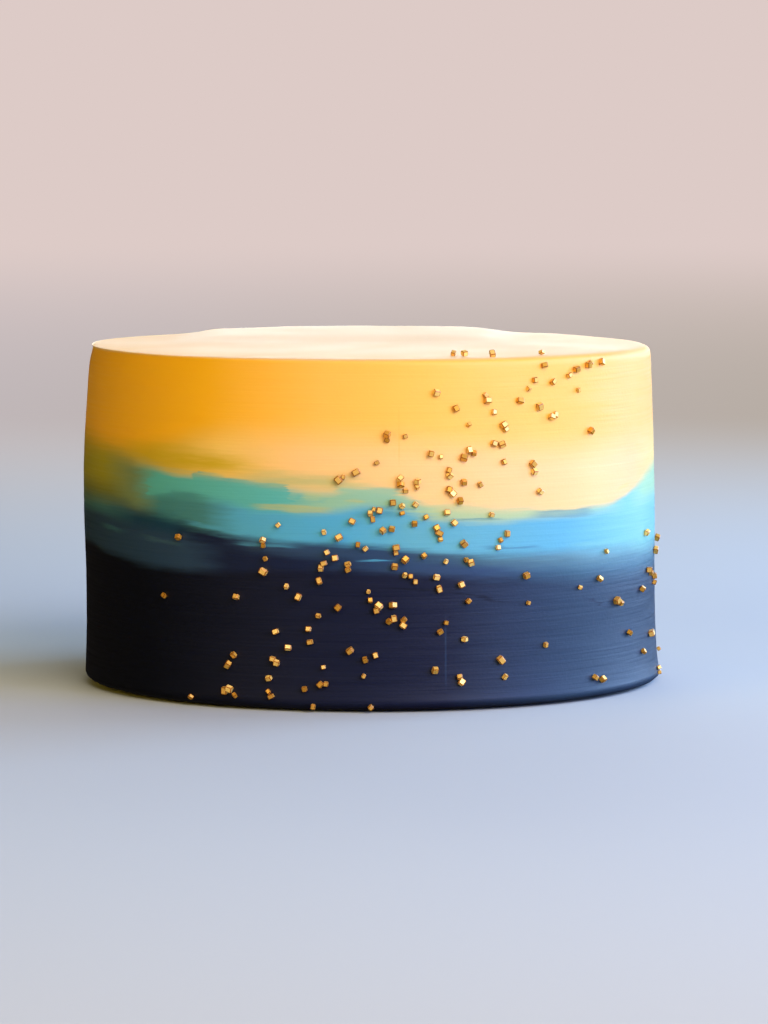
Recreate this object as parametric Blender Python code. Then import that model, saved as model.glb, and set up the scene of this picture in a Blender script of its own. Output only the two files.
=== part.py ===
"""Frosted layer cake: an uncut round cake under smooth buttercream, with gold sugar crystals pressed into its side.

Metres, +Z up. The origin is the centre of the flat base. Azimuth 0 faces the front (-Y) and grows towards +X.
The cake is uncut, so it is one solid, and the crystals are fused to the buttercream that they stick in.
"""
import math
import random

import bmesh
import bpy
from mathutils import Matrix, Vector

# Driving dimensions of the cake
HEIGHT = 0.125
TOP_RADIUS = 0.1036
BASE_RADIUS = 0.1063

# The buttercream wall bellies out above mid-height, most on the left, and spreads at its foot, most on the right
BELLY = 0.0015
BELLY_LEAN = 0.0009
BELLY_SHARE = 0.64
BELLY_SPAN = 0.31
FOOT_SPREAD = 0.0013
FOOT_LEAN = 0.0009
FOOT_HEIGHT = 0.008
WAVE = 0.00015

# The top edge is round on the right. On the left it is tight, and a thin lip overhangs the wall, which draws in below
EDGE_ROUND = 0.0024
EDGE_LEAN = 0.0014
LIP = 0.0013
PINCH = 0.0021
PINCH_HEIGHT = 0.002

# The top face: a slight dome, and a broad swath that the palette knife left raised towards the back
DOME = 0.0006
SWATH = 0.0016
SWATH_LEFT = (-0.070, -0.060)
SWATH_RIGHT = (0.036, 0.060)
SWATH_FRONT = (-0.010, 0.030)

# How finely the buttercream is faceted
AZIMUTH_STEPS = 96
WALL_RINGS = 11
EDGE_STEPS = 4
TOP_RINGS = 6
TOP_HUB = 0.10

# Gold sugar crystals: coarse cubes, a little longer one way, sunk into the buttercream by part of their depth
CRYSTAL_EDGE = (0.0013, 0.0022)
CRYSTAL_STRETCH = (1.0, 1.35)
CRYSTAL_FLAT = (0.8, 1.0)
CRYSTAL_TIP = 0.55
CRYSTAL_SUNK = 0.10
CRYSTAL_GAP = 1.0
CRYSTAL_LOWEST = 0.0022
CRYSTAL_HIGHEST = 0.1215
CRYSTAL_SEED = 4757

# The main fall of crystals leans across the front, from low on the left to high on the right, thickest at mid-height.
# Azimuths are in degrees. Some crystals have a twin that almost touches them.
FALL_COUNT = 134
FALL_LOW = -20.0
FALL_HIGH = 37.0
FALL_SPREAD = 11.5
FALL_BUNCH = 0.4
TWIN_CHANCE = 0.22
TWIN_REACH = 1.12

# Loose crystals away from the fall: azimuths, shares of the height, and how many
LOW_RIGHT_DRIFT = ((22.0, 90.0), (0.03, 0.52), 26)
LOW_LEFT_DRIFT = ((-46.0, -26.0), (0.03, 0.50), 4)
BACK_DRIFT = ((95.0, 250.0), (0.03, 0.42), 24)
DRIFT_SETTLE = 1.3

# Crystals that lie on the top face: azimuths, distances in from its edge, and how many
TOP_DRIFT = ((12.0, 44.0), (0.003, 0.014), 4)


def blend(low, high, share):
    return low + (high - low) * share


def smooth_step(low, high, value):
    share = min(1.0, max(0.0, (value - low) / (high - low)))
    return share * share * (3.0 - 2.0 * share)


def leftness(azimuth):
    """1 at the cake's left, 0 at its front and back, -1 at its right."""
    return -math.sin(azimuth)


def edge_round(azimuth):
    return EDGE_ROUND - EDGE_LEAN * leftness(azimuth)


def wall_radius(azimuth, height):
    """Radius of the buttercream's side at an azimuth, in radians, and a height."""
    share = height / HEIGHT
    left = leftness(azimuth)
    belly = (BELLY + BELLY_LEAN * left) * math.exp(-(((share - BELLY_SHARE) / BELLY_SPAN) ** 2))
    foot = (FOOT_SPREAD - FOOT_LEAN * left) * math.exp(-height / FOOT_HEIGHT)
    pinch = PINCH * max(0.0, left) ** 2 * math.exp(-(HEIGHT - height) / PINCH_HEIGHT)
    wave = WAVE * math.sin(3.0 * azimuth + 5.0 * share) * math.sin(math.pi * share)
    return blend(BASE_RADIUS, TOP_RADIUS, share) + belly + foot - pinch + wave


def top_height(x, y):
    """Height of the top face over a point of the base."""
    share = math.hypot(x, y) / TOP_RADIUS
    across = smooth_step(*SWATH_LEFT, x) * (1.0 - smooth_step(*SWATH_RIGHT, x))
    return HEIGHT + DOME * (1.0 - share * share) + SWATH * across * smooth_step(*SWATH_FRONT, y)


def point_at(azimuth, radius, height):
    return Vector((radius * math.sin(azimuth), -radius * math.cos(azimuth), height))


def wall_point(azimuth, height):
    return point_at(azimuth, wall_radius(azimuth, height), height)


def edge_point(azimuth, turn):
    """A point on the rounded top edge. Turn 0 is where the wall ends, and a quarter turn is where the top begins."""
    size = edge_round(azimuth)
    lip = LIP * max(0.0, leftness(azimuth)) ** 2 * math.sin(turn)
    radius = wall_radius(azimuth, HEIGHT - size) + lip - size * (1.0 - math.cos(turn))
    rim = point_at(azimuth, radius, 0.0)
    return Vector((rim.x, rim.y, top_height(rim.x, rim.y) - size * (1.0 - math.sin(turn))))


def top_point(azimuth, share):
    inner = edge_point(azimuth, math.pi / 2.0)
    return Vector((inner.x * share, inner.y * share, top_height(inner.x * share, inner.y * share)))


def wall_heights():
    """Heights of the wall's rings as shares of its height, closer together at the foot."""
    foot = (0.0, 0.016, 0.045)
    rest = WALL_RINGS - len(foot)
    return foot + tuple(blend(foot[-1], 1.0, (i + 1) / rest) for i in range(rest))


def profile_rings():
    """The rings from the foot, up the wall, over the edge and in over the top, each a function of azimuth."""
    for share in wall_heights():
        yield lambda azimuth, s=share: wall_point(azimuth, s * (HEIGHT - edge_round(azimuth)))
    for step in range(1, EDGE_STEPS + 1):
        turn = step / EDGE_STEPS * math.pi / 2.0
        yield lambda azimuth, t=turn: edge_point(azimuth, t)
    for ring in range(1, TOP_RINGS + 1):
        share = blend(1.0, TOP_HUB, ring / TOP_RINGS)
        yield lambda azimuth, s=share: top_point(azimuth, s)


def make_material(name, colour, roughness, metallic=0.0):
    material = bpy.data.materials.new(name)
    material.use_nodes = True
    shader = material.node_tree.nodes["Principled BSDF"]
    shader.inputs["Base Color"].default_value = (*colour, 1.0)
    shader.inputs["Roughness"].default_value = roughness
    shader.inputs["Metallic"].default_value = metallic
    return material


def add_object(name, mesh, collection, material):
    mesh.materials.append(material)
    new = bpy.data.objects.new(name, mesh)
    collection.objects.link(new)
    return new


def place_ring(verts, place):
    """Moves a ring's points to where the profile has them at each one's azimuth."""
    for vert in verts:
        vert.co = place(math.atan2(vert.co.x, -vert.co.y))


def frosted_body(material):
    """The cake's own form: a disc whose rim is extruded ring by ring along the profile, and closed at the hub."""
    bm = bmesh.new()
    rings = profile_rings()
    bmesh.ops.create_circle(bm, cap_ends=True, segments=AZIMUTH_STEPS, radius=BASE_RADIUS)
    place_ring(bm.verts, next(rings))
    edges = list(bm.edges)
    for place in rings:
        made = bmesh.ops.extrude_edge_only(bm, edges=edges)["geom"]
        verts = {item for item in made if isinstance(item, bmesh.types.BMVert)}
        edges = [item for item in made if isinstance(item, bmesh.types.BMEdge) and verts.issuperset(item.verts)]
        place_ring(verts, place)
    hub = bmesh.ops.holes_fill(bm, edges=edges)["faces"]
    centre = bmesh.ops.poke(bm, faces=hub)["verts"][0]
    centre.co = Vector((0.0, 0.0, top_height(0.0, 0.0)))
    bmesh.ops.recalc_face_normals(bm, faces=bm.faces)
    mesh = bpy.data.meshes.new("frosted_cake")
    bm.to_mesh(mesh)
    bm.free()
    return add_object("frosted_cake", mesh, bpy.context.scene.collection, material)


def wall_spot(azimuth, height):
    """Where a crystal sits on the wall, and which way the wall faces there."""
    step = 0.001
    up = wall_point(azimuth, height + step) - wall_point(azimuth, height - step)
    along = point_at(azimuth + math.pi / 2.0, 1.0, 0.0)
    return wall_point(azimuth, height), along.cross(up).normalized()


def draw_crystal(dice, spot, outward):
    """One crystal's place, sides and turn, drawn from the seeded dice."""
    edge = dice.uniform(*CRYSTAL_EDGE)
    sides = Vector((edge, edge * dice.uniform(*CRYSTAL_STRETCH), edge * dice.uniform(*CRYSTAL_FLAT)))
    spin = Matrix.Rotation(dice.uniform(0.0, math.tau), 3, "Z")
    tip = Matrix.Rotation(dice.gauss(0.0, CRYSTAL_TIP), 3, "X")
    turn = outward.to_track_quat("Z", "Y").to_matrix() @ tip @ spin
    middle = spot + outward * sides.z * (0.5 - CRYSTAL_SUNK)
    return middle, sides, turn


class Sprinkling:
    """Lays crystals on the wall one by one, and leaves out each that would land on another."""

    def __init__(self, seed):
        self.dice = random.Random(seed)
        self.spots = []
        self.crystals = []

    def on_wall(self, azimuth, height):
        gap = CRYSTAL_GAP * sum(CRYSTAL_EDGE) / 2.0
        spot, outward = wall_spot(azimuth, min(CRYSTAL_HIGHEST, max(CRYSTAL_LOWEST, height)))
        if all((spot - other).length > gap for other in self.spots):
            self.spots.append(spot)
            self.crystals.append(draw_crystal(self.dice, spot, outward))

    def on_top(self, azimuth, inset):
        rim = top_point(azimuth, 1.0)
        inward = 1.0 - inset / TOP_RADIUS
        spot = Vector((rim.x * inward, rim.y * inward, top_height(rim.x * inward, rim.y * inward)))
        self.crystals.append(draw_crystal(self.dice, spot, Vector((0.0, 0.0, 1.0))))


def sprinkled_crystals(seed):
    """Every crystal as (middle, sides, turn): the fall and its twins, the loose drifts and the few on the top."""
    sprinkling = Sprinkling(seed)
    dice = sprinkling.dice
    for index in range(FALL_COUNT):
        even = (index + dice.random()) / FALL_COUNT
        share = even + FALL_BUNCH * math.sin(math.tau * even) / math.tau
        azimuth = math.radians(dice.gauss(blend(FALL_LOW, FALL_HIGH, share), FALL_SPREAD))
        sprinkling.on_wall(azimuth, share * HEIGHT)
        if dice.random() < TWIN_CHANCE:
            lean = dice.uniform(0.0, math.tau)
            reach = TWIN_REACH * sum(CRYSTAL_EDGE) / 2.0
            along = reach * math.cos(lean) / TOP_RADIUS
            sprinkling.on_wall(azimuth + along, share * HEIGHT + reach * math.sin(lean))
    for azimuths, shares, count in (LOW_RIGHT_DRIFT, LOW_LEFT_DRIFT, BACK_DRIFT):
        for _ in range(count):
            share = blend(*shares, dice.random() ** DRIFT_SETTLE)
            sprinkling.on_wall(math.radians(dice.uniform(*azimuths)), share * HEIGHT)
    azimuths, insets, count = TOP_DRIFT
    for _ in range(count):
        sprinkling.on_top(math.radians(dice.uniform(*azimuths)), dice.uniform(*insets))
    return sprinkling.crystals


def sugar_crystals(collection, material):
    for number, (middle, sides, turn) in enumerate(sprinkled_crystals(CRYSTAL_SEED)):
        bm = bmesh.new()
        bmesh.ops.create_cube(bm, size=1.0)
        mesh = bpy.data.meshes.new(f"crystal_{number:03d}")
        bm.to_mesh(mesh)
        bm.free()
        mesh.transform(Matrix.Translation(middle) @ turn.to_4x4() @ Matrix.Diagonal((*sides, 1.0)))
        add_object(f"crystal_{number:03d}", mesh, collection, material)


def fuse(body, collection):
    """Joins the crystals to the buttercream by one Boolean union, and removes the loose ones."""
    union = body.modifiers.new("crystals", "BOOLEAN")
    union.operation = "UNION"
    union.operand_type = "COLLECTION"
    union.collection = collection
    union.solver = "EXACT"
    bpy.context.view_layer.objects.active = body
    bpy.ops.object.modifier_apply(modifier=union.name)
    for crystal in list(collection.objects):
        bpy.data.objects.remove(crystal)
    bpy.data.collections.remove(collection)


def main():
    for old in list(bpy.data.objects):
        bpy.data.objects.remove(old)
    buttercream = make_material("buttercream", (0.95, 0.62, 0.20), 0.5)
    gold_sugar = make_material("gold_sugar", (0.80, 0.52, 0.15), 0.3, 0.8)
    body = frosted_body(buttercream)
    crystals = bpy.data.collections.new("sugar_crystals")
    bpy.context.scene.collection.children.link(crystals)
    sugar_crystals(crystals, gold_sugar)
    fuse(body, crystals)
    body.data.shade_smooth()
    body.data.set_sharp_from_angle(angle=math.radians(35.0))


main()
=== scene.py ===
import math
import random

import bmesh
import bpy
from mathutils import Matrix, Vector, noise


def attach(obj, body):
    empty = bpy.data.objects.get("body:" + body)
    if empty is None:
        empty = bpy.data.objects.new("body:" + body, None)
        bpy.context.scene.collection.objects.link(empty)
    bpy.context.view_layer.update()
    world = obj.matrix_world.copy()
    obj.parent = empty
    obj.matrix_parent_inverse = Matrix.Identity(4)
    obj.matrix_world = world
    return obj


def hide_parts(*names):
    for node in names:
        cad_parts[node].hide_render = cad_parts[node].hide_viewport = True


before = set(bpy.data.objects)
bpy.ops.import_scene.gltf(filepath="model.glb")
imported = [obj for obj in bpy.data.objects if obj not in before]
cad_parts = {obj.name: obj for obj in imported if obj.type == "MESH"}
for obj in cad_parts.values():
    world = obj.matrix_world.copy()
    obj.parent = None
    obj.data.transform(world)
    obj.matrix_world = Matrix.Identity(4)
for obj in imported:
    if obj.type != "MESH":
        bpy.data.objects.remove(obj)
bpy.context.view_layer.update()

# The cake's form, as the part has it
HEIGHT = 0.125
TOP_RADIUS = 0.1036
BASE_RADIUS = 0.1063
BELLY = 0.0015
BELLY_LEAN = 0.0009
BELLY_SHARE = 0.64
BELLY_SPAN = 0.31
FOOT_SPREAD = 0.0013
FOOT_LEAN = 0.0009
FOOT_HEIGHT = 0.008
WAVE = 0.00015
EDGE_ROUND = 0.0024
EDGE_LEAN = 0.0014
LIP = 0.0013
PINCH = 0.0021
PINCH_HEIGHT = 0.002
DOME = 0.0006
SWATH = 0.0016
SWATH_LEFT = (-0.070, -0.060)
SWATH_RIGHT = (0.036, 0.060)
SWATH_FRONT = (-0.010, 0.030)

# The crystals' rule, as the part has it
CRYSTAL_EDGE = (0.0013, 0.0022)
CRYSTAL_STRETCH = (1.0, 1.35)
CRYSTAL_FLAT = (0.8, 1.0)
CRYSTAL_TIP = 0.55
CRYSTAL_SUNK = 0.10
CRYSTAL_GAP = 1.0
CRYSTAL_LOWEST = 0.0022
CRYSTAL_HIGHEST = 0.1215
CRYSTAL_SEED = 4757
FALL_COUNT = 134
FALL_LOW = -20.0
FALL_HIGH = 37.0
FALL_SPREAD = 11.5
FALL_BUNCH = 0.4
TWIN_CHANCE = 0.22
TWIN_REACH = 1.12
LOW_RIGHT_DRIFT = ((22.0, 90.0), (0.03, 0.52), 26)
LOW_LEFT_DRIFT = ((-46.0, -26.0), (0.03, 0.50), 4)
BACK_DRIFT = ((95.0, 250.0), (0.03, 0.42), 24)
DRIFT_SETTLE = 1.3
TOP_DRIFT = ((12.0, 44.0), (0.003, 0.014), 4)

# How finely the buttercream is modelled, before two levels of subdivision
ROUND_STEPS = 132
WALL_CUTS = 25
EDGE_SEGMENTS = 4
TOP_INSETS = 10
TOP_HUB = 0.06
BASE_INSETS = 2
BASE_HUB = 0.5


def blend(low, high, share):
    return low + (high - low) * share


def smooth_step(low, high, value):
    share = min(1.0, max(0.0, (value - low) / (high - low)))
    return share * share * (3.0 - 2.0 * share)


# The form, worked out as in the part


def leftness(azimuth):
    return -math.sin(azimuth)


def edge_round(azimuth):
    return EDGE_ROUND - EDGE_LEAN * leftness(azimuth)


def wall_radius(azimuth, height):
    share = height / HEIGHT
    left = leftness(azimuth)
    belly = (BELLY + BELLY_LEAN * left) * math.exp(-(((share - BELLY_SHARE) / BELLY_SPAN) ** 2))
    foot = (FOOT_SPREAD - FOOT_LEAN * left) * math.exp(-height / FOOT_HEIGHT)
    pinch = PINCH * max(0.0, left) ** 2 * math.exp(-(HEIGHT - height) / PINCH_HEIGHT)
    wave = WAVE * math.sin(3.0 * azimuth + 5.0 * share) * math.sin(math.pi * share)
    return blend(BASE_RADIUS, TOP_RADIUS, share) + belly + foot - pinch + wave


def top_height(x, y):
    share = math.hypot(x, y) / TOP_RADIUS
    across = smooth_step(*SWATH_LEFT, x) * (1.0 - smooth_step(*SWATH_RIGHT, x))
    return HEIGHT + DOME * (1.0 - share * share) + SWATH * across * smooth_step(*SWATH_FRONT, y)


def point_at(azimuth, radius, height):
    return Vector((radius * math.sin(azimuth), -radius * math.cos(azimuth), height))


def wall_point(azimuth, height):
    return point_at(azimuth, wall_radius(azimuth, height), height)


def edge_point(azimuth, turn):
    size = edge_round(azimuth)
    lip = LIP * max(0.0, leftness(azimuth)) ** 2 * math.sin(turn)
    radius = wall_radius(azimuth, HEIGHT - size) + lip - size * (1.0 - math.cos(turn))
    rim = point_at(azimuth, radius, 0.0)
    return Vector((rim.x, rim.y, top_height(rim.x, rim.y) - size * (1.0 - math.sin(turn))))


def top_point(azimuth, share):
    inner = edge_point(azimuth, math.pi / 2.0)
    return Vector((inner.x * share, inner.y * share, top_height(inner.x * share, inner.y * share)))


# The crystals' places, worked out as in the part


def wall_spot(azimuth, height):
    step = 0.001
    up = wall_point(azimuth, height + step) - wall_point(azimuth, height - step)
    along = point_at(azimuth + math.pi / 2.0, 1.0, 0.0)
    return wall_point(azimuth, height), along.cross(up).normalized()


def draw_crystal(dice, spot, outward):
    edge = dice.uniform(*CRYSTAL_EDGE)
    sides = Vector((edge, edge * dice.uniform(*CRYSTAL_STRETCH), edge * dice.uniform(*CRYSTAL_FLAT)))
    spin = Matrix.Rotation(dice.uniform(0.0, math.tau), 3, "Z")
    tip = Matrix.Rotation(dice.gauss(0.0, CRYSTAL_TIP), 3, "X")
    turn = outward.to_track_quat("Z", "Y").to_matrix() @ tip @ spin
    middle = spot + outward * sides.z * (0.5 - CRYSTAL_SUNK)
    return middle, sides, turn


class Sprinkling:
    """Lays crystals on the wall one by one, and leaves out each that would land on another."""

    def __init__(self, seed):
        self.dice = random.Random(seed)
        self.spots = []
        self.crystals = []

    def on_wall(self, azimuth, height):
        gap = CRYSTAL_GAP * sum(CRYSTAL_EDGE) / 2.0
        spot, outward = wall_spot(azimuth, min(CRYSTAL_HIGHEST, max(CRYSTAL_LOWEST, height)))
        if all((spot - other).length > gap for other in self.spots):
            self.spots.append(spot)
            self.crystals.append(draw_crystal(self.dice, spot, outward))

    def on_top(self, azimuth, inset):
        rim = top_point(azimuth, 1.0)
        inward = 1.0 - inset / TOP_RADIUS
        spot = Vector((rim.x * inward, rim.y * inward, top_height(rim.x * inward, rim.y * inward)))
        self.crystals.append(draw_crystal(self.dice, spot, Vector((0.0, 0.0, 1.0))))


def sprinkled_crystals(seed):
    sprinkling = Sprinkling(seed)
    dice = sprinkling.dice
    for index in range(FALL_COUNT):
        even = (index + dice.random()) / FALL_COUNT
        share = even + FALL_BUNCH * math.sin(math.tau * even) / math.tau
        azimuth = math.radians(dice.gauss(blend(FALL_LOW, FALL_HIGH, share), FALL_SPREAD))
        sprinkling.on_wall(azimuth, share * HEIGHT)
        if dice.random() < TWIN_CHANCE:
            lean = dice.uniform(0.0, math.tau)
            reach = TWIN_REACH * sum(CRYSTAL_EDGE) / 2.0
            along = reach * math.cos(lean) / TOP_RADIUS
            sprinkling.on_wall(azimuth + along, share * HEIGHT + reach * math.sin(lean))
    for azimuths, shares, count in (LOW_RIGHT_DRIFT, LOW_LEFT_DRIFT, BACK_DRIFT):
        for _ in range(count):
            share = blend(*shares, dice.random() ** DRIFT_SETTLE)
            sprinkling.on_wall(math.radians(dice.uniform(*azimuths)), share * HEIGHT)
    azimuths, insets, count = TOP_DRIFT
    for _ in range(count):
        sprinkling.on_top(math.radians(dice.uniform(*azimuths)), dice.uniform(*insets))
    return sprinkling.crystals


# Modelling helpers


# Two places closer than this, in metres, count as the same
CLOSE = 0.0001


def deselect():
    if bpy.context.object and bpy.context.object.mode != "OBJECT":
        bpy.ops.object.mode_set(mode="OBJECT")
    bpy.ops.object.select_all(action="DESELECT")


def edit(piece):
    deselect()
    piece.select_set(True)
    bpy.context.view_layer.objects.active = piece
    bpy.ops.object.mode_set(mode="EDIT")


def pick(piece, kind, wanted):
    """In edit mode, selects just the faces or edges that the test wants."""
    bpy.ops.mesh.select_mode(type="FACE" if kind == "faces" else "EDGE")
    bpy.ops.mesh.select_all(action="DESELECT")
    mesh = bmesh.from_edit_mesh(piece.data)
    for item in getattr(mesh, kind):
        if wanted(item):
            item.select_set(True)
    bmesh.update_edit_mesh(piece.data)


def apply_modifier(piece, kind, **settings):
    modifier = piece.modifiers.new(kind.title(), kind)
    for name, value in settings.items():
        setattr(modifier, name, value)
    deselect()
    piece.select_set(True)
    bpy.context.view_layer.objects.active = piece
    bpy.ops.object.modifier_apply(modifier=modifier.name)


def middle_height(item):
    return sum(vert.co.z for vert in item.verts) / len(item.verts)


def near(first, second):
    return abs(first - second) < CLOSE


# The buttercream


def turned_cake():
    """A straight round of cake: a cylinder with rings up its wall, a rounded edge and rings over its top."""
    deselect()
    middle = (0.0, 0.0, HEIGHT / 2.0)
    bpy.ops.mesh.primitive_cylinder_add(
        vertices=ROUND_STEPS, radius=BASE_RADIUS, depth=HEIGHT, end_fill_type="NGON", location=middle
    )
    cake = bpy.context.object
    cake.name = "buttercream"
    cake.data.name = "buttercream"
    bpy.ops.object.transform_apply(location=True, rotation=False, scale=False)
    edit(cake)
    pick(cake, "edges", lambda edge: all(near(vert.co.z, HEIGHT) for vert in edge.verts))
    bpy.ops.mesh.bevel(offset=EDGE_ROUND, offset_type="OFFSET", segments=EDGE_SEGMENTS, profile=0.5)
    pick(cake, "edges", lambda edge: abs(edge.verts[0].co.z - edge.verts[1].co.z) > HEIGHT * 0.5)
    bpy.ops.mesh.subdivide(number_cuts=WALL_CUTS)
    for height, steps, hub in ((HEIGHT, TOP_INSETS, TOP_HUB), (0.0, BASE_INSETS, BASE_HUB)):
        flat_radius = BASE_RADIUS - (EDGE_ROUND if height else 0.0)
        pick(cake, "faces", lambda face: len(face.verts) == ROUND_STEPS and near(middle_height(face), height))
        for _ in range(steps):
            bpy.ops.mesh.inset(thickness=flat_radius * (1.0 - hub) / steps)
        bpy.ops.mesh.poke()
    bpy.ops.object.mode_set(mode="OBJECT")
    return cake


def settle_on_form(cake):
    """Moves each point of the straight round to its place on the cake's real, slightly uneven form."""
    straight = BASE_RADIUS - EDGE_ROUND
    wall_top = HEIGHT - EDGE_ROUND
    for vert in cake.data.vertices:
        x, y, z = vert.co
        azimuth, radius = math.atan2(x, -y), math.hypot(x, y)
        if z < CLOSE:
            vert.co = wall_point(azimuth, 0.0) * (radius / BASE_RADIUS)
        elif z <= wall_top + CLOSE:
            vert.co = wall_point(azimuth, z / wall_top * (HEIGHT - edge_round(azimuth)))
        elif radius > straight + CLOSE:
            vert.co = edge_point(azimuth, math.atan2(z - wall_top, radius - straight))
        else:
            vert.co = top_point(azimuth, radius / straight)


# The scraper's and the palette knife's low relief. A ripple has its length, height, seed and share. An arc of
# the knife has its centre, width and share.
WALL_RIPPLE = 0.00016
WALL_RIPPLES = ((0.055, 0.018, 3.1, 1.0), (0.022, 0.0035, 7.7, 0.35))
TOP_STROKE = 0.00042
TOP_ARCS = (((-0.16, 0.05), 0.017, 1.0), ((0.03, 0.24), 0.026, 0.8), ((0.20, -0.09), 0.034, 0.6))
ARC_SWING = 1.6
ARC_SHIFT = 11.3
ARCS_EVENED = 1.6
RELIEF_FADES = 0.006
FACES_UP = (0.5, 0.95)


def stretched_noise(point, across, up, seed):
    stretched = Vector((point.x / across, point.y / across, point.z / up))
    return noise.noise(stretched + Vector((seed, seed, seed)))


def wall_relief(point):
    ripples = (share * stretched_noise(point, across, up, seed) for across, up, seed, share in WALL_RIPPLES)
    return WALL_RIPPLE * sum(ripples)


def top_relief(point):
    """Overlapping arcs that the palette knife swept across the top."""
    relief = 0.0
    for centre, pitch, share in TOP_ARCS:
        reach = math.hypot(point.x - centre[0], point.y - centre[1])
        swing = math.atan2(point.y - centre[1], point.x - centre[0])
        relief += share * noise.noise(Vector((reach / pitch, swing * ARC_SWING, ARC_SHIFT * share)))
    return TOP_STROKE * relief / ARCS_EVENED


def work_the_surface(cake):
    """Low relief left by the scraper and the palette knife, only inward. The base stays flat."""
    mesh = cake.data
    normals = [vert.normal.copy() for vert in mesh.vertices]
    for vert, normal in zip(mesh.vertices, normals):
        foot = smooth_step(0.0, RELIEF_FADES, vert.co.z)
        upward = smooth_step(*FACES_UP, normal.z)
        dip = blend(wall_relief(vert.co) - WALL_RIPPLE, top_relief(vert.co) - TOP_STROKE, upward)
        vert.co += normal * min(0.0, dip) * foot


def model_buttercream():
    cake = turned_cake()
    settle_on_form(cake)
    apply_modifier(cake, "SUBSURF", levels=2, render_levels=2)
    work_the_surface(cake)
    cake.data.shade_smooth()
    return cake


# The gold sugar


# The bevel is a share of a crystal's side. A face that looks squarely along an axis is a flat side, and any
# other is a broken edge.
CRYSTAL_BEVEL = 0.13
SQUARE_ON = 0.99
TINT_SEED = 5


def one_crystal():
    """A unit sugar cube with its edges broken, and marked, so that the material can paint shade on them."""
    deselect()
    bpy.ops.mesh.primitive_cube_add(size=1.0)
    crystal = bpy.context.object
    edit(crystal)
    bpy.ops.mesh.select_all(action="SELECT")
    bpy.ops.mesh.bevel(offset=CRYSTAL_BEVEL, offset_type="OFFSET", segments=1, profile=0.5)
    bpy.ops.object.mode_set(mode="OBJECT")
    # The rim marks the broken edges, where the material paints shade
    rim = crystal.data.attributes.new("rim", "FLOAT", "FACE")
    for item, face in zip(rim.data, crystal.data.polygons):
        item.value = 0.0 if max(abs(part) for part in face.normal) > SQUARE_ON else 1.0
    return crystal


def tint(mesh, value):
    layer = mesh.attributes.new("tint", "FLOAT", "POINT")
    layer.data.foreach_set("value", [value] * len(mesh.vertices))


def model_gold_sugar():
    first = one_crystal()
    dice = random.Random(TINT_SEED)
    copies = []
    for middle, sides, turn in sprinkled_crystals(CRYSTAL_SEED):
        mesh = first.data.copy()
        mesh.transform(Matrix.Translation(middle) @ turn.to_4x4() @ Matrix.Diagonal((*sides, 1.0)))
        tint(mesh, dice.random())
        copy = bpy.data.objects.new("sugar_crystal", mesh)
        bpy.context.scene.collection.objects.link(copy)
        copies.append(copy)
    bpy.data.objects.remove(first)
    deselect()
    for copy in copies:
        copy.select_set(True)
    bpy.context.view_layer.objects.active = copies[0]
    bpy.ops.object.join()
    sugar = bpy.context.object
    sugar.name = "gold_sugar"
    sugar.data.name = "gold_sugar"
    return sugar


# Materials


def paint(red, green, blue):
    """A display colour, 0 to 255, as the linear colour that shaders want."""
    def linear(value):
        value /= 255.0
        return value / 12.92 if value <= 0.04045 else ((value + 0.055) / 1.055) ** 2.4

    return (linear(red), linear(green), linear(blue), 1.0)


class Wiring:
    """Adds nodes to one tree. Each call gives back the new node's output."""

    def __init__(self, tree):
        self.tree = tree

    def add(self, kind, **settings):
        node = self.tree.nodes.new(kind)
        for name, value in settings.items():
            setattr(node, name, value)
        return node

    def feed(self, socket, value):
        if isinstance(value, bpy.types.NodeSocket):
            self.tree.links.new(value, socket)
        elif value is not None:
            socket.default_value = value

    def math(self, operation, first, second=None, third=None):
        node = self.add("ShaderNodeMath", operation=operation)
        for socket, value in zip(node.inputs, (first, second, third)):
            self.feed(socket, value)
        return node.outputs[0]

    def step(self, value, low, high, out_low=0.0, out_high=1.0):
        """A smooth step of a value from low to high."""
        node = self.add("ShaderNodeMapRange", interpolation_type="SMOOTHSTEP")
        for socket, fed in zip(node.inputs, (value, low, high, out_low, out_high)):
            self.feed(socket, fed)
        return node.outputs[0]

    def mix(self, share, under, over):
        node = self.add("ShaderNodeMix", data_type="RGBA")
        colours = [socket for socket in node.inputs if socket.type == "RGBA"]
        self.feed(node.inputs[0], share)
        self.feed(colours[0], under)
        self.feed(colours[1], over)
        return next(socket for socket in node.outputs if socket.type == "RGBA")

    def vector(self, x, y, z):
        node = self.add("ShaderNodeCombineXYZ")
        for socket, value in zip(node.inputs, (x, y, z)):
            self.feed(socket, value)
        return node.outputs[0]

    def object_point(self):
        point = self.add("ShaderNodeTexCoord").outputs["Object"]
        parts = self.add("ShaderNodeSeparateXYZ")
        self.feed(parts.inputs[0], point)
        return point, parts.outputs

    def noise(self, vector, scale, detail=2.0, roughness=0.5):
        node = self.add("ShaderNodeTexNoise")
        self.feed(node.inputs["Vector"], vector)
        self.feed(node.inputs["Scale"], scale)
        self.feed(node.inputs["Detail"], detail)
        self.feed(node.inputs["Roughness"], roughness)
        return node.outputs["Fac"]

    def curve(self, value, points):
        """A smooth curve through (in, out) points, both from 0 to 1."""
        node = self.add("ShaderNodeFloatCurve")
        line = node.mapping.curves[0]
        for index, (across, up) in enumerate(points):
            if index < 2:
                line.points[index].location = (across, up)
            else:
                line.points.new(across, up)
        node.mapping.update()
        self.feed(node.inputs["Value"], value)
        return node.outputs[0]

    def place(self, group, **values):
        node = self.add("ShaderNodeGroup", node_tree=group)
        for name, value in values.items():
            self.feed(node.inputs[name.replace("_", " ").title()], value)
        return node.outputs


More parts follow.
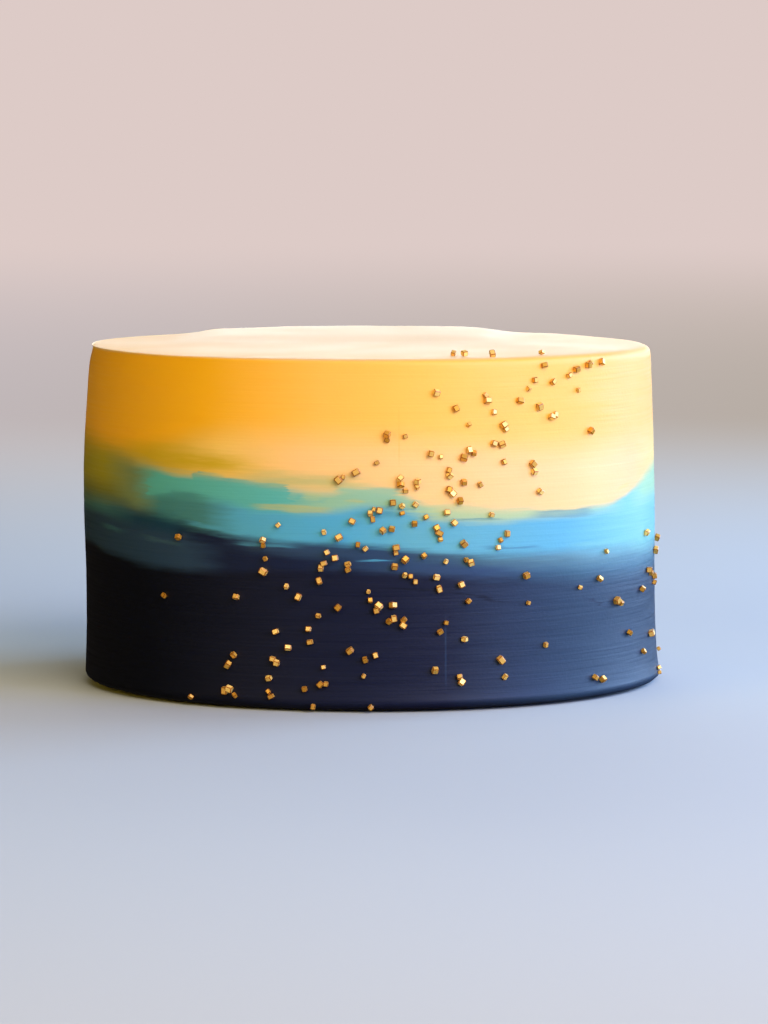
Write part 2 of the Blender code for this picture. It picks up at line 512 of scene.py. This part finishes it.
def new_group(name, inputs, outputs):
    """An empty node group. Inputs and outputs are (name, socket kind, default)."""
    group = bpy.data.node_groups.new(name, "ShaderNodeTree")
    for way, sockets in (("INPUT", inputs), ("OUTPUT", outputs)):
        for title, kind, default in sockets:
            socket = group.interface.new_socket(title, in_out=way, socket_type=kind)
            if default is not None:
                socket.default_value = default
    wiring = Wiring(group)
    return group, wiring, wiring.add("NodeGroupInput").outputs, wiring.add("NodeGroupOutput").inputs


FLOAT = "NodeSocketFloat"


def stretched_grain_group():
    """Noise drawn out round the cake, as a scraper leaves it. Length and Thickness are in metres."""
    names = ("Length", "Thickness", "Detail", "Shift")
    inputs = [(name, FLOAT, 1.0) for name in names]
    group, w, given, out = new_group("stretched_grain", inputs, (("Grain", FLOAT, 0.5),))
    _point, (x, y, z) = w.object_point()
    length, thickness = given["Length"], given["Thickness"]
    along = (w.math("DIVIDE", x, length), w.math("DIVIDE", y, length))
    up = w.math("ADD", w.math("DIVIDE", z, thickness), given["Shift"])
    w.feed(out["Grain"], w.noise(w.vector(*along, up), 1.0, given["Detail"]))
    return group


# How the palette knife drags the colours about: its broad and fine streaks, how much the fine ones count, and
# how far it drags, in degrees round and millimetres up
BROAD_DRAG = {"length": 0.022, "thickness": 0.007, "detail": 2.0, "shift": 4.0}
FINE_DRAG = {"length": 0.015, "thickness": 0.0013, "detail": 4.0, "shift": 19.0}
FINE_SHARE = 1.3
DRAG_DEGREES = 6.0
DRAG_MM = 1.7


def cake_coordinates_group(grain):
    """Azimuth in degrees and height in millimetres, both dragged about by the palette knife."""
    inputs = (("Drag", FLOAT, 1.0),)
    outputs = (("Azimuth", FLOAT, 0.0), ("Height", FLOAT, 0.0))
    group, w, given, out = new_group("cake_coordinates", inputs, outputs)
    _point, (x, y, z) = w.object_point()
    azimuth = w.math("MULTIPLY", w.math("ARCTAN2", x, w.math("MULTIPLY", y, -1.0)), math.degrees(1.0))
    broad = w.math("SUBTRACT", w.place(grain, **BROAD_DRAG)[0], 0.5)
    fine = w.math("SUBTRACT", w.place(grain, **FINE_DRAG)[0], 0.5)
    slide = w.math("MULTIPLY", w.math("MULTIPLY", fine, DRAG_DEGREES), given["Drag"])
    w.feed(out["Azimuth"], w.math("ADD", azimuth, slide))
    lift = w.math("ADD", broad, w.math("MULTIPLY", fine, FINE_SHARE))
    lift = w.math("MULTIPLY", w.math("MULTIPLY", lift, DRAG_MM), given["Drag"])
    w.feed(out["Height"], w.math("ADD", w.math("MULTIPLY", z, 1000.0), lift))
    return group


MM_PER_DEGREE = math.radians(1.0) * BASE_RADIUS * 1000.0


def palette_stroke_group():
    """One stroke of the palette knife: 1 inside a leaning, soft-edged bar of the side, 0 outside it."""
    places = ("Azimuth", "Height", "At Azimuth", "At Height")
    sizes = ("Length", "Thickness", "Lean", "Soft Ends", "Soft Sides")
    inputs = [(name, FLOAT, 0.5) for name in places + sizes]
    group, w, given, out = new_group("palette_knife_stroke", inputs, (("Mask", FLOAT, 0.0),))
    along = w.math("MULTIPLY", w.math("SUBTRACT", given["Azimuth"], given["At Azimuth"]), MM_PER_DEGREE)
    rise = w.math("SUBTRACT", given["Height"], given["At Height"])
    rise = w.math("SUBTRACT", rise, w.math("MULTIPLY", along, given["Lean"]))
    masks = []
    bar = ((along, given["Length"], given["Soft Ends"]), (rise, given["Thickness"], given["Soft Sides"]))
    for offset, size, soft in bar:
        share = w.math("ABSOLUTE", w.math("DIVIDE", offset, w.math("MULTIPLY", size, 0.5)))
        masks.append(w.step(share, 1.0, w.math("SUBTRACT", 1.0, soft)))
    w.feed(out["Mask"], w.math("MULTIPLY", *masks))
    return group


# The coat's pigments, among them some that paint shade and some that paint sheen, as marked below
# Painted shade: a deeper, more orange gold for the shaded left of the top band
PAINTED_SHADE_GOLD = paint(240, 176, 4)
GOLDEN = paint(243, 183, 74)
AMBER = paint(240, 168, 62)
LEMON = paint(236, 196, 100)
BUTTER = paint(238, 191, 118)
WHEAT = paint(224, 180, 108)
BRONZE = paint(196, 164, 4)
OLIVE = paint(160, 152, 8)
MOSS = paint(112, 118, 42)
SAGE = paint(112, 134, 92)
SEA_GREEN = paint(82, 172, 166)
PINE = paint(60, 124, 128)
LEAF = paint(136, 180, 146)
PALE_GREEN = paint(166, 186, 130)
STRAW = paint(172, 176, 112)
TEAL = paint(60, 112, 118)
SKY = paint(74, 160, 192)
LAGOON = paint(88, 161, 175)
SHALLOW = paint(118, 178, 158)
MINT = paint(152, 190, 140)
HAZE = paint(92, 132, 134)
SLATE = paint(56, 92, 104)
DUSK = paint(16, 58, 84)
STEEL = paint(36, 62, 92)
INK = paint(14, 26, 58)
NAVY = paint(15, 20, 44)
# Painted shade: a near-black navy for the shaded left and for creases
PAINTED_SHADE_NAVY = paint(6, 9, 24)
# Painted sheen: a paler navy for the lit right
PAINTED_SHEEN_NAVY = paint(31, 49, 66)
# Painted sheen: the top's cream is paler than the wall's yellow
TOP_SHEEN_CREAM = paint(250, 221, 170)

# The coat's bands from the top down, by azimuth in degrees. Each has its pigments. All but the last also have
# the line where the next band begins, in millimetres up, and half the height over which the two blend there.
BANDS = (
    (
        (
            # Painted shade: the top band deepens to a more orange gold on the left
            (-180, GOLDEN), (-110, PAINTED_SHADE_GOLD), (-34, PAINTED_SHADE_GOLD), (-10, GOLDEN), (34, GOLDEN), (62, AMBER),
            (90, AMBER), (130, GOLDEN), (180, GOLDEN),
        ),
        (
            (-180, 90), (-120, 96), (-76, 93), (-56, 91), (-44, 93), (-30, 97), (-14, 97), (10, 95),
            (30, 92), (60, 92), (100, 94), (150, 88), (180, 90),
        ),
        ((-180, 6), (-76, 5), (-50, 5), (-30, 7), (0, 8), (60, 8), (180, 6)),
    ),
    (
        (
            (-180, LEMON), (-110, BRONZE), (-48, BRONZE), (-30, LEMON), (-14, BUTTER), (50, BUTTER),
            (64, WHEAT), (90, LEMON), (110, LEMON), (180, LEMON),
        ),
        (
            (-180, 76), (-140, 72), (-110, 80), (-76, 88.5), (-62, 89), (-52, 87), (-45, 84.5), (-37, 82.5),
            (-28, 81.5), (-20, 81), (-13, 78.4), (-8, 78), (-3, 79.6), (4, 78.6), (8, 75.8), (12, 73.2),
            (20, 71.6), (29, 71.2), (36, 70.3), (45, 69.8), (53, 70), (59, 71.4), (65, 74.2), (71, 77.6),
            (76, 80), (90, 82), (112, 78), (142, 70), (180, 76),
        ),
        (
            (-180, 3), (-110, 5), (-76, 6.5), (-52, 5), (-44, 3), (-30, 2.4), (-12, 3), (8, 2.2), (25, 2.8),
            (38, 1.2), (62, 1.2), (74, 3.2), (180, 3),
        ),
    ),
    (
        (
            (-180, PALE_GREEN), (-110, MOSS), (-78, OLIVE), (-66, OLIVE), (-53, SAGE), (-46, SEA_GREEN),
            (-18, SEA_GREEN), (-10, LEAF), (4, LEAF), (14, PALE_GREEN), (40, PALE_GREEN), (62, SHALLOW),
            (71, MINT), (180, PALE_GREEN),
        ),
        (
            (-180, 69), (-110, 70), (-76, 76), (-60, 76), (-52, 74), (-42, 75.4), (-30, 74), (-20, 71),
            (-8, 71), (0, 73), (6, 71.4), (12, 68.6), (22, 67), (38, 67.2), (60, 68), (76, 70), (110, 68),
            (180, 69),
        ),
        ((-180, 3), (-76, 5), (-50, 4), (-20, 2.4), (10, 2.2), (40, 2.2), (76, 4), (180, 3)),
    ),
    (
        (
            (-180, LAGOON), (-110, TEAL), (-76, MOSS), (-62, MOSS), (-52, SAGE), (-45, PINE), (-34, PINE),
            (-26, SKY), (-6, SKY), (8, LAGOON), (40, LAGOON), (70, SHALLOW), (110, LAGOON), (180, LAGOON),
        ),
        (
            (-180, 62), (-110, 64), (-76, 70.5), (-60, 70.5), (-50, 68.5), (-42, 66.5), (-34, 63.6),
            (-26, 61.6), (-18, 60.2), (-6, 59.6), (4, 58.6), (13, 56.4), (22, 55.4), (31, 55), (44, 54.6),
            (60, 53.6), (76, 52.5), (110, 58), (180, 62),
        ),
        ((-180, 3), (-76, 4), (-45, 3.4), (-28, 2.2), (-6, 1.8), (22, 2), (40, 3), (76, 4.4), (180, 3)),
    ),
    (
        (
            (-180, SLATE), (-110, DUSK), (-76, TEAL), (-64, TEAL), (-52, DUSK), (-42, DUSK), (-35, INK),
            (-30, INK), (-23, STEEL), (4, STEEL), (20, SLATE), (46, HAZE), (76, HAZE), (130, SLATE),
            (180, SLATE),
        ),
        (
            (-180, 57), (-110, 60), (-76, 66), (-60, 65), (-50, 63), (-40, 61), (-28, 57.5), (-16, 55.5),
            (0, 54.6), (12, 53), (24, 51.4), (44, 50.6), (60, 49), (76, 48), (110, 52), (180, 57),
        ),
        ((-180, 3), (-76, 3), (-40, 3), (-16, 1.8), (8, 1.8), (30, 3), (60, 4), (180, 3)),
    ),
    (
        (
            (-180, STEEL), (-110, DUSK), (-76, STEEL), (-58, STEEL), (-38, STEEL), (-28, INK), (-12, INK),
            (4, STEEL), (20, STEEL), (44, SLATE), (80, SLATE), (130, STEEL), (180, STEEL),
        ),
        (
            (-180, 51), (-110, 50), (-76, 53.4), (-68, 52.2), (-60, 51), (-46, 49), (-30, 48.6), (-14, 50),
            (4, 50), (20, 47.6), (38, 46), (60, 44), (76, 43.4), (110, 47), (180, 51),
        ),
        ((-180, 3), (-76, 1.8), (-40, 2.2), (-14, 1.6), (10, 2), (36, 3.6), (60, 4.6), (180, 3)),
    ),
    (
        (
            # Painted shade and painted sheen: near-black navy on the shaded left, a paler navy on the lit
            # right
            (-180, NAVY), (-120, NAVY), (-80, PAINTED_SHADE_NAVY), (-50, PAINTED_SHADE_NAVY), (-14, NAVY), (14, NAVY),
            (40, PAINTED_SHEEN_NAVY), (78, PAINTED_SHEEN_NAVY), (120, NAVY), (180, NAVY),
        ),
        None,
        None,
    ),
)

# Strokes of the palette knife over the bands, and painted shade along a line and in creases, first to last:
# name, azimuth and height of the middle, length and thickness in millimetres, lean, softness of ends and
# sides, how strongly it covers, and pigment
STROKES = (
    ("patch_left_end", -45, 78.2, 15, 7.2, 0.10, 0.25, 0.35, 0.85, SEA_GREEN),
    ("patch", -26, 78.8, 40, 7.6, -0.08, 0.06, 0.28, 0.95, SEA_GREEN),
    ("patch_shade", -38, 75, 20, 4, -0.05, 0.7, 0.9, 0.4, PINE),
    ("patch_tail", -11.5, 75.6, 13, 3, -0.12, 0.5, 0.7, 0.6, SEA_GREEN),
    ("straw_streak", -15, 72.2, 33, 3.2, -0.05, 0.5, 0.65, 0.7, STRAW),
    ("straw_gap", -11, 76.2, 10, 4.4, -0.10, 0.7, 0.8, 0.6, PALE_GREEN),
    ("bronze_haze", -38, 87.6, 84, 13.0, -0.05, 0.8, 1.0, 0.95, BRONZE),
    ("straw_shade", -12, 81.8, 60, 9.0, -0.05, 0.7, 1.0, 0.8, STRAW),
    ("pale_smear", 17, 72.0, 32, 4.6, -0.06, 0.7, 0.9, 0.5, PALE_GREEN),
    ("crest", -0.5, 77.2, 25, 5.6, -0.02, 0.30, 0.38, 0.85, LEAF),
    ("crest_straw", -2.6, 75.0, 8, 2.4, 0.0, 0.8, 0.9, 0.6, STRAW),
    ("crest_shade", 2, 70.4, 24, 4.4, 0.0, 0.8, 0.9, 0.45, PINE),
    ("grey_line", 21, 67.9, 24, 1.3, -0.01, 0.6, 0.9, 0.6, PINE),
    ("grey_cap", 41, 68.2, 36, 3.8, -0.01, 0.45, 0.40, 0.6, HAZE),
    # Painted shadow: a slightly darker yellow line just above the teal's edge on the right
    ("painted_shadow_line", 61, 76.0, 16, 2.6, 0.16, 0.7, 0.9, 0.35, GOLDEN),
    ("ink_wedge", -35, 59.0, 24, 3.6, -0.13, 0.8, 0.9, 0.45, INK),
    ("ink_wedge_end", -24, 53.6, 28, 4.6, -0.06, 0.8, 0.9, 0.6, INK),
    ("dusk_wisp", -49, 55.4, 50, 5.0, -0.12, 0.7, 0.9, 0.7, STEEL),
    ("dusk_wisp_low", -36, 50.4, 26, 2.2, -0.04, 0.7, 0.9, 0.6, STEEL),
    ("dusk_wisp_high", -62, 60.6, 28, 2.4, -0.04, 0.8, 0.9, 0.45, TEAL),
    ("slate_wisp", -58, 67.2, 34, 2.4, -0.05, 0.7, 0.9, 0.5, SLATE),
    ("slate_wisp_low", -45, 58.2, 30, 2.0, -0.10, 0.7, 0.9, 0.5, SLATE),
    ("sky_wisp", -33, 64.6, 28, 2.4, -0.10, 0.7, 0.9, 0.55, SKY),
    ("sky_wisp_low", -20, 58.8, 30, 1.8, -0.05, 0.7, 0.9, 0.5, SKY),
    ("steel_wisp", 28, 57.4, 30, 1.8, -0.04, 0.7, 0.9, 0.4, STEEL),
    ("haze_wisp", 52, 56.6, 44, 2.6, -0.03, 0.7, 0.9, 0.45, SHALLOW),
    ("thread", 1.4, 54.2, 14, 1.0, -0.02, 0.8, 0.9, 0.7, SKY),
    # Painted shade: dark lines in the creases of the navy
    ("painted_crease_shade_left", 7, 43.6, 27, 1.3, -0.05, 0.8, 0.9, 0.9, PAINTED_SHADE_NAVY),
    ("painted_crease_shade_middle", 22, 40.2, 31, 1.3, -0.19, 0.8, 0.9, 0.9, PAINTED_SHADE_NAVY),
    ("painted_crease_shade_right", 50, 35.2, 22, 1.4, -0.30, 0.8, 0.9, 0.85, NAVY),
    ("back_patch", 168, 73, 52, 8, 0.05, 0.5, 0.7, 0.75, SEA_GREEN),
    ("back_straw", 150, 69, 30, 3, -0.05, 0.5, 0.7, 0.6, STRAW),
    ("back_dusk", -150, 55, 60, 7, 0.04, 0.6, 0.7, 0.7, DUSK),
)

# Faint upright lines, set out in the same way but not dragged about: a crease's painted shade in the yellow,
# and a line where the scraper stopped
SCRAPER_MARKS = (
    # Painted shade: a darker amber line in a crease of the yellow
    ("painted_crease_shade_golden", 5.5, 98, 0.8, 26, 0.0, 0.9, 0.6, 0.4, AMBER),
    ("scraper_line", 14.5, 21, 1.0, 32, 0.0, 0.9, 0.6, 0.45, STEEL),
)


# The most that a line and a blend can reach, in millimetres, then the streaks that wear the strokes thin, the
# span of them that does it, and the share that they wear away
LINE_LIMIT = 100.0
BLEND_LIMIT = 10.0
WORN_STREAKS = {"length": 0.012, "thickness": 0.0012, "detail": 4.0, "shift": 31.0}
WORN_SPAN = (0.25, 0.62)
WORN_AWAY = 0.3


def azimuth_share(w, azimuth):
    return w.math("MULTIPLY_ADD", azimuth, 1.0 / 360.0, 0.5)


def line_round(w, share, points, top):
    """A height that follows the azimuth, through (degrees, millimetres) points."""
    level = w.curve(share, [(degrees / 360.0 + 0.5, height / top) for degrees, height in points])
    return w.math("MULTIPLY", level, top)


def pigments_round(w, share, stops):
    """Pigments that run into each other round the cake, from (degrees, pigment) stops."""
    ramp = w.add("ShaderNodeValToRGB")
    line = ramp.color_ramp
    for index, (degrees, pigment) in enumerate(stops):
        place = degrees / 360.0 + 0.5
        stop = line.elements[index] if index < 2 else line.elements.new(place)
        stop.position = place
        stop.color = pigment
    w.feed(ramp.inputs[0], share)
    return ramp.outputs[0]


def lay_strokes(w, stroke, colour, strokes, place, worn):
    """Lays strokes over a colour one by one. Each covers less where the coat is worn."""
    for name, at, up, length, thickness, lean, ends, sides, strength, pigment in strokes:
        mask = w.place(
            stroke, azimuth=place[0], height=place[1], at_azimuth=at, at_height=up, length=length,
            thickness=thickness, lean=lean, soft_ends=ends, soft_sides=sides,
        )[0]
        mask.node.label = name
        left = w.math("MULTIPLY_ADD", worn, WORN_AWAY * strength, (1.0 - WORN_AWAY) * strength)
        cover = w.math("MULTIPLY", mask, left)
        colour = w.mix(cover, colour, pigment)
    return colour


def banded_coat(w, grain, coordinates, stroke):
    """The coat's colour: the bands from the bottom up, then the strokes laid over them."""
    azimuth, height = w.place(coordinates, drag=1.0)
    share = azimuth_share(w, azimuth)
    colour = pigments_round(w, share, BANDS[-1][0])
    for stops, line, blend_points in reversed(BANDS[:-1]):
        above = w.math("SUBTRACT", height, line_round(w, share, line, LINE_LIMIT))
        reach = line_round(w, share, blend_points, BLEND_LIMIT)
        cover = w.step(above, w.math("MULTIPLY", reach, -1.0), reach)
        colour = w.mix(cover, colour, pigments_round(w, share, stops))
    worn = w.step(w.place(grain, **WORN_STREAKS)[0], *WORN_SPAN)
    colour = lay_strokes(w, stroke, colour, STROKES, (azimuth, height), worn)
    return lay_strokes(w, stroke, colour, SCRAPER_MARKS, w.place(coordinates, drag=0.0), worn)


# The buttercream's finish: where the coat's colours give way to the top's paler cream, a painted sheen over
# the yellow, in metres from the cake's height, then its fine streaks and pits, and the roughness and the
# relief that they give
TOP_SHEEN_SPAN = (-0.0014, 0.0004)
FINE_STREAKS = {"length": 0.045, "thickness": 0.0009, "detail": 4.0, "shift": 2.0}
STREAK_SPAN = (0.2, 0.8)
STREAK_ROUGHNESS = (0.42, 0.56)
STREAK_RELIEF = 0.7
PIT_RELIEF = 0.3
PITS_PER_METRE = 900.0
PIT_DETAIL = 3.0

# The gold sugar's finish, from the palest crystal to the deepest, and the painted shade on its broken edges
PALE_SUGAR = paint(250, 214, 118)
DEEP_SUGAR = paint(228, 164, 50)
PAINTED_EDGE_SHADE = paint(174, 106, 30)
SUGAR_ROUGHNESS = (0.22, 0.34)
SUGAR_METALLIC = (0.06, 0.56)


def fresh_material(name):
    material = bpy.data.materials.new(name)
    material.use_nodes = True
    return material, Wiring(material.node_tree), material.node_tree.nodes["Principled BSDF"]


def buttercream_material():
    material, w, shader = fresh_material("buttercream")
    grain = stretched_grain_group()
    coordinates = cake_coordinates_group(grain)
    stroke = palette_stroke_group()
    point, (_x, _y, z) = w.object_point()
    # Painted sheen: the top is coloured a paler cream than the wall's yellow
    upward = w.step(z, *(HEIGHT + offset for offset in TOP_SHEEN_SPAN))
    colour = w.mix(upward, banded_coat(w, grain, coordinates, stroke), TOP_SHEEN_CREAM)
    w.feed(shader.inputs["Base Color"], colour)
    streaks = w.place(grain, **FINE_STREAKS)[0]
    w.feed(shader.inputs["Roughness"], w.step(streaks, *STREAK_SPAN, *STREAK_ROUGHNESS))
    pits = w.noise(point, PITS_PER_METRE, PIT_DETAIL)
    relief = w.math("ADD", w.math("MULTIPLY", streaks, STREAK_RELIEF), w.math("MULTIPLY", pits, PIT_RELIEF))
    bump = w.add("ShaderNodeBump")
    bump.inputs["Strength"].default_value = 0.25
    bump.inputs["Distance"].default_value = 0.0004
    w.feed(bump.inputs["Height"], relief)
    w.feed(shader.inputs["Normal"], bump.outputs[0])
    shader.inputs["IOR"].default_value = 1.45
    shader.inputs["Subsurface Weight"].default_value = 0.08
    shader.inputs["Subsurface Radius"].default_value = (1.0, 0.5, 0.25)
    shader.inputs["Subsurface Scale"].default_value = 0.002
    return material


def gold_sugar_material():
    material, w, shader = fresh_material("gold_sugar")
    tint_value = w.add("ShaderNodeAttribute", attribute_name="tint").outputs["Fac"]
    colour = w.mix(tint_value, PALE_SUGAR, DEEP_SUGAR)
    # Painted shade: the broken edges are darkened
    rim = w.add("ShaderNodeAttribute", attribute_name="rim").outputs["Fac"]
    colour = w.mix(rim, colour, PAINTED_EDGE_SHADE)
    w.feed(shader.inputs["Base Color"], colour)
    for title, (palest, deepest) in (("Roughness", SUGAR_ROUGHNESS), ("Metallic", SUGAR_METALLIC)):
        w.feed(shader.inputs[title], w.math("MULTIPLY_ADD", tint_value, deepest - palest, palest))
    return material


def dress(piece, material):
    piece.data.materials.clear()
    piece.data.materials.append(material)
    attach(piece, "root")
    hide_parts("frosted_cake")


# The stage: a pale floor, soft light, and the camera


FLOOR_SIZE = 24.0
CAMERA_DISTANCE = 1.851
CAMERA_HEIGHT = 0.2234
CAMERA_ASIDE = 0.0048
CAMERA_PITCH = 4.986
CAMERA_LENS = 175.5
CAMERA_SENSOR = 36.0
FLOOR = paint(186, 196, 196)
FLOOR_FADE = (0.35, 1.5)
ROOM_FADE = (1.2, 5.0)
ROOM_SPLIT = (-0.4, 0.4)
ROOM_LEFT = paint(192, 183, 185)
ROOM_RIGHT = paint(182, 172, 163)
ROOM = paint(221, 203, 199)
ROOM_GLOW = 0.04


def floor_material():
    """Plain round the cake. Farther off, for the camera only, it fades into the room's pale blur."""
    material, w, shader = fresh_material("pale_floor")
    shader.inputs["Base Color"].default_value = FLOOR
    shader.inputs["Roughness"].default_value = 0.9
    shader.inputs["Specular IOR Level"].default_value = 0.1
    _point, (x, y, _z) = w.object_point()
    near_blur = w.mix(w.step(x, *ROOM_SPLIT), ROOM_LEFT, ROOM_RIGHT)
    reach = w.math("SQRT", w.math("ADD", w.math("MULTIPLY", x, x), w.math("MULTIPLY", y, y)))
    blur = w.add("ShaderNodeEmission")
    w.feed(blur.inputs["Color"], w.mix(w.step(y, *ROOM_FADE), near_blur, ROOM))
    seen = w.add("ShaderNodeLightPath").outputs["Is Camera Ray"]
    fade = w.add("ShaderNodeMixShader")
    w.feed(fade.inputs[0], w.math("MULTIPLY", seen, w.step(reach, *FLOOR_FADE)))
    w.feed(fade.inputs[1], shader.outputs[0])
    w.feed(fade.inputs[2], blur.outputs[0])
    w.feed(material.node_tree.nodes["Material Output"].inputs["Surface"], fade.outputs[0])
    return material


def lay_floor():
    deselect()
    bpy.ops.mesh.primitive_plane_add(size=FLOOR_SIZE)
    floor = bpy.context.object
    floor.name = "floor"
    floor.data.materials.append(floor_material())
    floor.visible_glossy = False


# Each light's name, azimuth and elevation as seen from the cake, distance, width and height in metres, power
# in watts, colour, whether it lights the cake, and whether it shows in the cake's sheen. Cool daylight comes
# in at the right and from behind. The warm room answers it from the front and the left, with no sheen.
LIGHTS = (
    ("room_front_right", 25.0, 30.0, 2.0, 1.4, 1.4, 42.0, (1.0, 0.82, 0.66), True, False),
    ("room_left", -50.0, 15.0, 2.2, 1.2, 1.2, 16.0, (1.0, 0.64, 0.04), True, False),
    ("room_back_left", -172.0, 16.0, 2.2, 1.4, 1.0, 22.0, (1.0, 0.92, 0.82), True, False),
    ("window_front_right", 62.0, 20.0, 2.0, 1.4, 1.4, 44.0, (0.28, 0.41, 1.0), True, True),
    ("window_right", 110.0, 18.0, 1.9, 1.3, 1.3, 50.0, (0.36, 0.58, 1.0), True, True),
    ("window_back_right", 135.0, 14.0, 2.0, 1.4, 1.0, 19.0, (0.5, 0.7, 1.0), True, True),
    ("window_back", 172.0, 9.0, 2.2, 1.2, 0.7, 12.0, (1.0, 0.97, 0.94), False, True),
    ("sparkle_right", 34.0, 22.0, 2.0, 0.3, 0.3, 7.0, (1.0, 0.96, 0.88), False, True),
    ("sparkle_high", 4.0, 52.0, 2.0, 0.3, 0.3, 7.0, (1.0, 0.94, 0.84), False, True),
    ("sparkle_left", -34.0, 24.0, 2.0, 0.3, 0.3, 3.0, (1.0, 0.90, 0.76), False, True),
)


def hang_light(name, azimuth, elevation, distance, width, height, power, colour, lighting, mirrored):
    """A soft light that faces the cake, and that the camera doesn't see."""
    light = bpy.data.lights.new(name, "AREA")
    light.shape = "RECTANGLE"
    light.size = width
    light.size_y = height
    light.energy = power
    light.color = colour
    lamp = bpy.data.objects.new(name, light)
    bpy.context.scene.collection.objects.link(lamp)
    around, up = math.radians(azimuth), math.radians(elevation)
    away = point_at(around, math.cos(up), math.sin(up))
    lamp.location = away * distance + Vector((0.0, 0.0, HEIGHT / 2.0))
    lamp.rotation_euler = away.to_track_quat("Z", "Y").to_euler()
    lamp.visible_camera = False
    lamp.visible_diffuse = lighting
    lamp.visible_glossy = mirrored


def light_the_room():
    for light in LIGHTS:
        hang_light(*light)
    world = bpy.data.worlds.new("pale_room")
    world.use_nodes = True
    w = Wiring(world.node_tree)
    background = world.node_tree.nodes["Background"]
    background.inputs["Color"].default_value = ROOM
    seen = w.add("ShaderNodeLightPath").outputs["Is Camera Ray"]
    w.feed(background.inputs["Strength"], w.math("MULTIPLY_ADD", seen, 1.0 - ROOM_GLOW, ROOM_GLOW))
    bpy.context.scene.world = world
    bpy.context.scene.view_settings.view_transform = "Standard"


def set_camera():
    data = bpy.data.cameras.new("camera")
    data.lens = CAMERA_LENS
    data.sensor_width = CAMERA_SENSOR
    camera = bpy.data.objects.new("camera", data)
    bpy.context.scene.collection.objects.link(camera)
    camera.location = (CAMERA_ASIDE, -CAMERA_DISTANCE, CAMERA_HEIGHT)
    camera.rotation_euler = (math.radians(90.0 - CAMERA_PITCH), 0.0, 0.0)
    bpy.context.scene.camera = camera


def main():
    set_camera()
    dress(model_buttercream(), buttercream_material())
    dress(model_gold_sugar(), gold_sugar_material())
    lay_floor()
    light_the_room()
    deselect()


main()
